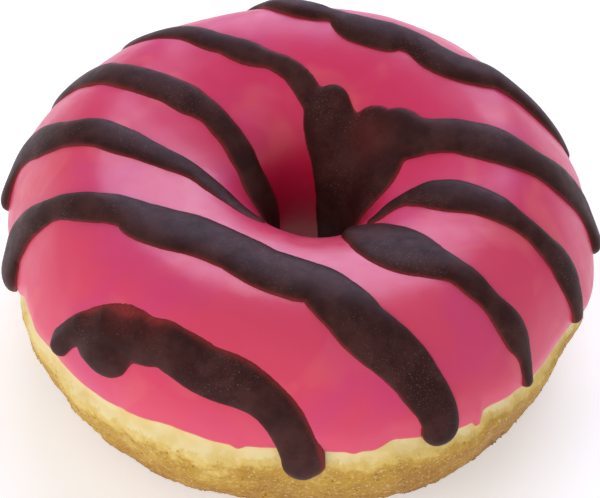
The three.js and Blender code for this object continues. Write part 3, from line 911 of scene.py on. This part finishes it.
@dataclass
class Drizzle:
    """Thick lines of chocolate that lie across the icing and end in round drips."""

    skin: RingSkin
    finish: ChocolateFinish = ChocolateFinish()
    root: float = 0.25  # depth of its rim in the icing
    row_step: float = 0.3
    columns: int = 44
    samples: int = 400  # points that measure a line's length
    flatness: float = 2.35  # exponent of the section: 2 is an ellipse
    full_width: float = 1.8  # half width from which a line has its full height
    bead_reach: float = 5.0
    edge_waver: tuple[Relief, ...] = (Relief(0.17, 3.6, 0.0), Relief(0.06, 1.2, 5.0))
    side_gap: float = 40.0  # keeps the unevenness of its two edges apart
    crown_waver: Relief = Relief(0.10, 4.5, 9.0)
    first_seed: float = 20.0
    run_seeds: float = 7.0  # from one run to the next
    line_seeds: float = 3.0  # from one line of a run to the next
    voxel: float = 0.24
    smoothings: int = 5
    red_depth: float = 0.34  # chocolate thinner than this looks red
    patch_red: float = 0.5
    thin_patches: tuple[tuple[float, float, float, float], ...] = (  # turn, tilt, reach, share
        (38, -43, 4.6, 0.50), (70, -38, 1.8, 0.25), (229, 37, 4.0, 0.72), (237, 34.5, 3.4, 0.50),
        (221, 47, 2.8, 0.50),
    )

    def path(self, line: Line) -> Array:
        """A line's stations joined by a smooth curve.

        Args:
            line: The line.

        Returns:
            Turn, tilt and half width, one spot to a row, evenly spaced over the skin.
        """
        stations = np.array(line.stations, float)
        ends = 2 * stations[0] - stations[1], 2 * stations[-1] - stations[-2]
        stations = np.vstack([ends[0], stations, ends[1]])
        at = np.linspace(0.0, len(stations) - 3.0, self.samples)
        first = np.minimum(at.astype(int), len(stations) - 4)
        share = (at - first)[:, None]
        a, b, c, d = (stations[first + k] for k in range(4))
        curve = 0.5 * (2 * b + (c - a) * share + (2 * a - 5 * b + 4 * c - d) * share**2
                       + (3 * b - a - 3 * c + d) * share**3)
        steps = np.diff(self.skin.point(curve[:, 0], curve[:, 1]), axis=0)
        walked = np.concatenate([[0.0], np.cumsum(np.linalg.norm(steps, axis=1))])
        rows = math.ceil(walked[-1] / self.row_step)
        even = np.linspace(0.0, walked[-1], rows + 1)
        return np.stack([np.interp(even, walked, curve[:, k]) for k in range(3)], axis=1)

    def line_mesh(self, bm: bmesh.types.BMesh, line: Line, seed: float) -> None:
        """Adds one line to a mesh: a sphere drawn out along the line's path.

        Args:
            bm: The mesh that it is added to.
            line: The line.
            seed: Sets its unevenness apart from the other lines'.
        """
        path = self.path(line)
        rows = len(path) - 1
        made = bmesh.ops.create_uvsphere(bm, u_segments=self.columns, v_segments=rows, radius=1.0)
        unit = np.array([vert.co[:] for vert in made["verts"]])
        row = np.round(np.degrees(np.arccos(np.clip(unit[:, 2], -1, 1))) / 180.0 * rows).astype(int)
        column = np.arctan2(unit[:, 1], unit[:, 0])

        points = self.skin.point(path[:, 0], path[:, 1])
        walked = np.linspace(0.0, rows * self.row_step, rows + 1)
        heading = np.gradient(points, axis=0)
        side = np.cross(self.skin.normal(path[:, 0], path[:, 1]), heading)
        side /= np.linalg.norm(side, axis=1, keepdims=True)
        full = rounded(walked / path[0, 2]) * rounded((walked[-1] - walked) / path[-1, 2])

        sway = np.sign(np.cos(column))[:, None] * np.array([0.0, self.side_gap, 0.0])
        along = np.stack([walked[row], 0 * walked[row], 0 * walked[row] + seed], axis=1) + sway
        uneven = layered(self.edge_waver, along, seed)
        blend_out = np.abs(np.cos(column))  # no break where one side's edge meets the other's
        half = (path[row, 2] + uneven * blend_out) * full[row]
        across = signed_power(np.cos(column), 2.0 / self.flatness)
        bulge = signed_power(np.sin(column), 2.0 / self.flatness) * full[row]

        from_start, from_end = walked / self.bead_reach, (walked[-1] - walked) / self.bead_reach
        bead = line.beads[0] * eased(1.0 - from_start) + line.beads[1] * eased(1.0 - from_end)
        crown = line.height * np.minimum(path[:, 2] / self.full_width, 1.0) + bead
        crown = crown[row] * (1.0 + self.crown_waver.at(along * [1, 0, 1], seed))
        crown = crown * (1.0 - line.thin_left * eased(across))
        lift = np.where(bulge > 0, crown + self.root, self.root) * bulge - self.root
        spots = self.skin.locate(points[row] + side[row] * (across * half)[:, None])
        placed = self.skin.over(spots[0], spots[1], lift)
        for vert, point in zip(made["verts"], placed):
            vert.co = point
        bmesh.ops.recalc_face_normals(bm, faces=list({f for v in made["verts"] for f in v.link_faces}))

    def joined(self, mesh: Mesh) -> Mesh:
        """Makes lines that cross one closed surface, with the creases between them filled.

        Args:
            mesh: Several closed lines, in metres.

        Returns:
            The new mesh.
        """
        holder = add_object("joining", mesh)
        remesh = holder.modifiers.new("join", "REMESH")
        remesh.mode = "VOXEL"
        remesh.voxel_size = self.voxel * MM
        ready = holder.evaluated_get(bpy.context.evaluated_depsgraph_get())
        made = bpy.data.meshes.new_from_object(ready)
        bpy.data.objects.remove(holder)
        bm = bmesh.new()
        bm.from_mesh(made)
        for _ in range(self.smoothings):
            bmesh.ops.smooth_vert(bm, verts=bm.verts[:], factor=0.5, use_axis_x=True,
                                  use_axis_y=True, use_axis_z=True)
        bm.to_mesh(made)
        bm.free()
        return made

    def build_run(self, name: str, lines: tuple[Line, ...], seed: float,
                  material: Material) -> None:
        """Makes one piece of drizzle.

        Args:
            name: Name of the piece.
            lines: Its lines.
            seed: Sets its unevenness apart.
            material: Its finish.
        """
        bm = bmesh.new()
        for k, line in enumerate(lines):
            self.line_mesh(bm, line, seed + self.line_seeds * k)
        bmesh.ops.scale(bm, vec=(MM, MM, MM), verts=bm.verts[:])
        mesh = to_mesh(bm, name)
        if len(lines) > 1:
            mesh = self.joined(mesh)
            mesh.name = name

        points = corners(mesh) / MM
        turn, tilt, height = self.skin.locate(points)
        patch = np.zeros(len(points))
        for at_turn, at_tilt, reach, share in self.thin_patches:
            away = np.linalg.norm(points - self.skin.point(at_turn, at_tilt), axis=1)
            patch = np.maximum(patch, share * eased(1.0 - away / reach))
        lower = np.where(height > 0, height * patch, 0.0)
        points -= self.skin.normal(turn, tilt) * lower[:, None]
        move_corners(mesh, points * MM)
        rim = 1.0 - eased(np.clip(height - lower, 0.0, None) / self.red_depth)
        paint(mesh, "red", np.clip(rim + self.patch_red * patch, 0.0, 1.0))
        finish_piece(name, mesh, material, Node.ICING)

    def build(self) -> None:
        """Makes all the drizzle."""
        material = self.finish.material()
        for k, (name, lines) in enumerate(RUNS.items()):
            self.build_run(name, lines, self.first_seed + self.run_seeds * k, material)


# ---- Studio ----


@dataclass(frozen=True)
class Softbox:
    """One large soft light. Sizes and places are in metres."""

    name: str
    place: Triple
    size: float
    power: float
    colour: Triple = (1.0, 1.0, 1.0)
    aim: Triple = (0.0, 0.0, 0.015)
    mirrored: bool = True  # whether glossy faces show it

    def build(self) -> None:
        """Makes the light, facing its aim."""
        data = bpy.data.lights.new(self.name, "AREA")
        data.shape = "SQUARE"
        data.size = self.size
        data.energy = self.power
        data.color = self.colour
        light = add_object(self.name, data)
        light.visible_glossy = self.mirrored
        light.location = self.place
        light.rotation_euler = (Vector(self.aim) - Vector(self.place)).to_track_quat("-Z", "Y").to_euler()


@dataclass
class Studio:
    """Pale floor, soft light all round and a camera at the photograph's angle."""

    target: Triple = (-0.000385, 0.000915, 0.0125)
    distance: float = 0.300
    elevation: float = 45.0
    roll: float = 0.017  # radians, the camera's left side down
    focal_pixels: float = 2672.4
    target_pixel: Pair = (295.3, 250.46)
    floor_size: float = 3.0
    floor_colour: Triple = (0.90, 0.90, 0.90)
    floor_glow: float = 0.38  # keeps the floor as white as the photograph's background
    sky: Triple = (0.98, 0.98, 1.0)
    sky_strength: float = 0.41
    lights: tuple[Softbox, ...] = (
        Softbox("back", (0.14, 0.78, 0.50), 0.80, 7.7, (0.66, 0.68, 1.0)),
        Softbox("left", (-0.78, -0.42, 0.42), 0.60, 2.5, (1.0, 0.95, 0.90), mirrored=False),
        Softbox("front", (-0.05, -0.90, 0.42), 0.70, 2.2, (1.0, 0.95, 0.90), mirrored=False),
    )

    def build_floor(self) -> None:
        """Makes the floor."""
        bm = bmesh.new()
        bmesh.ops.create_grid(bm, x_segments=1, y_segments=1, size=self.floor_size / 2)
        floor = add_object("floor", to_mesh(bm, "floor"))
        shader = Shader("pale_floor")
        shader.set(base_color=self.floor_colour, roughness=0.9, specular_ior_level=0.1,
                   emission_color=(1.0, 1.0, 1.0), emission_strength=self.floor_glow)
        floor.data.materials.append(shader.material)

    def build_camera(self) -> None:
        """Makes the camera, which sees the object as the photograph does."""
        width, height = PHOTO_SIZE
        data = bpy.data.cameras.new("camera")
        data.sensor_width = 36.0
        data.lens = self.focal_pixels / width * data.sensor_width
        data.shift_x = (width / 2 - self.target_pixel[0]) / width
        data.shift_y = (self.target_pixel[1] - height / 2) / width
        data.clip_start, data.clip_end = 0.01, 10.0
        camera = add_object("camera", data)
        rise = math.radians(self.elevation)
        back = Vector((0.0, -math.cos(rise), math.sin(rise)))
        camera.location = Vector(self.target) + back * self.distance
        facing = (-back).to_track_quat("-Z", "Y").to_matrix().to_4x4()
        camera.rotation_euler = (facing @ Matrix.Rotation(self.roll, 4, "Z")).to_euler()
        bpy.context.scene.camera = camera

    def build(self) -> None:
        """Makes the floor, the light and the camera."""
        scene = bpy.context.scene
        scene.view_settings.view_transform = "Standard"
        world = bpy.data.worlds.new("studio")
        world.use_nodes = True
        background = world.node_tree.nodes["Background"]
        background.inputs["Color"].default_value = (*self.sky, 1.0)
        background.inputs["Strength"].default_value = self.sky_strength
        scene.world = world
        for light in self.lights:
            light.build()
        self.build_floor()
        self.build_camera()


# ---- Everything ----


def main() -> None:
    """Builds the doughnut and its studio."""
    logging.basicConfig(level=logging.INFO, format="%(name)s: %(message)s")
    skin, edges = RingSkin(), IcingEdges()
    Studio().build()
    Dough(skin, edges).build()
    Icing(skin, edges).build()
    Drizzle(skin).build()


if __name__ == "__main__":
    main()
